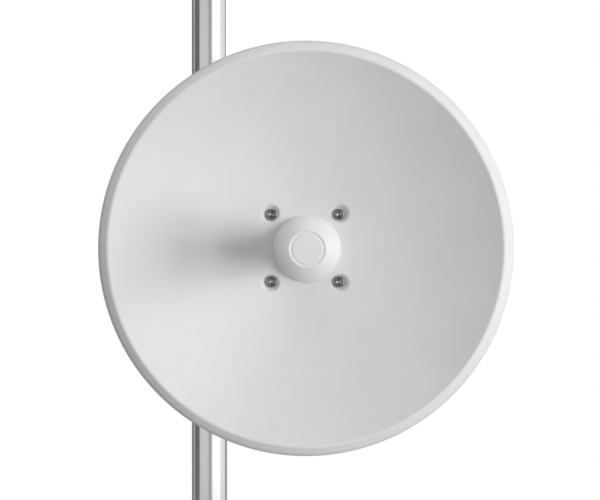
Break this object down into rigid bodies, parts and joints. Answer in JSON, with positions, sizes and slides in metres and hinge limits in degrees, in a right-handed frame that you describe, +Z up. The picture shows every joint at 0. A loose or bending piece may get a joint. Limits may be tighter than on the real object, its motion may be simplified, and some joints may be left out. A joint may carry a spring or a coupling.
{
  "type": "wireless dish antenna",
  "caption": "Pressed metal dish with a front feed and a radio behind it, tilting on a bracket clamped to a short flanged mast.",
  "frame": {"origin": "centre of the mast foot's underside, on the ground", "axes": "+Z up along the mast, the dish looks along -Y and stands off to +X of the mast"},
  "size_m": [0.47, 0.343, 0.8058],
  "materials": {
    "dish_paint": "off-white semi-matt powder coat",
    "tube_steel": "polished stainless tube",
    "zinc_steel": "hot-dip galvanised",
    "stainless": "bright stainless",
    "feed_aluminium": "satin",
    "cast_aluminium": "bead-blasted casting",
    "white_plastic": "satin moulded",
    "grey_plastic": "moulded",
    "black_plastic": "moulded"
  },
  "bodies": {
    "mast": {"mast_pole": "tube_steel", "pole_cap": "black_plastic", "base_plate": "zinc_steel", "base_gusset_1": "zinc_steel", "base_gusset_2": "zinc_steel", "base_gusset_3": "zinc_steel", "base_gusset_4": "zinc_steel", "anchor_bolt_1": "zinc_steel", "anchor_bolt_2": "zinc_steel", "anchor_bolt_3": "zinc_steel", "anchor_bolt_4": "zinc_steel"},
    "bracket": {"clamp_bracket": "zinc_steel", "clamp_jaw": "zinc_steel", "clamp_bolt_1": "stainless", "clamp_bolt_2": "stainless", "clamp_bolt_3": "stainless", "clamp_bolt_4": "stainless", "clamp_nut_1": "stainless", "clamp_nut_2": "stainless", "clamp_nut_3": "stainless", "clamp_nut_4": "stainless"},
    "antenna": {"hub_plate": "zinc_steel", "pivot_bolt": "stainless", "pivot_nut": "stainless", "lock_1_bolt": "stainless", "lock_1_nut": "stainless", "lock_2_bolt": "stainless", "lock_2_nut": "stainless", "dish_reflector": "dish_paint", "hub_screw_1": "stainless", "hub_screw_2": "stainless", "hub_screw_3": "stainless", "hub_screw_4": "stainless", "feed_collar": "white_plastic", "feed_tube": "feed_aluminium", "feed_cone": "grey_plastic", "feed_cap": "white_plastic", "radio_base": "cast_aluminium", "radio_cover": "white_plastic", "port_cover": "black_plastic", "cable_gland": "black_plastic"}
  },
  "joints": [
    {"name": "azimuth_swivel", "type": "hinge", "parent": "mast", "child": "bracket", "pos_m": [0, 0, 0.45], "axis": [0, 0, 1], "range_deg": [-180, 180]},
    {"name": "elevation_tilt", "type": "hinge", "parent": "bracket", "child": "antenna", "pos_m": [0.115, -0.058, 0.45], "axis": [1, 0, 0], "range_deg": [-20, 20]}
  ]
}
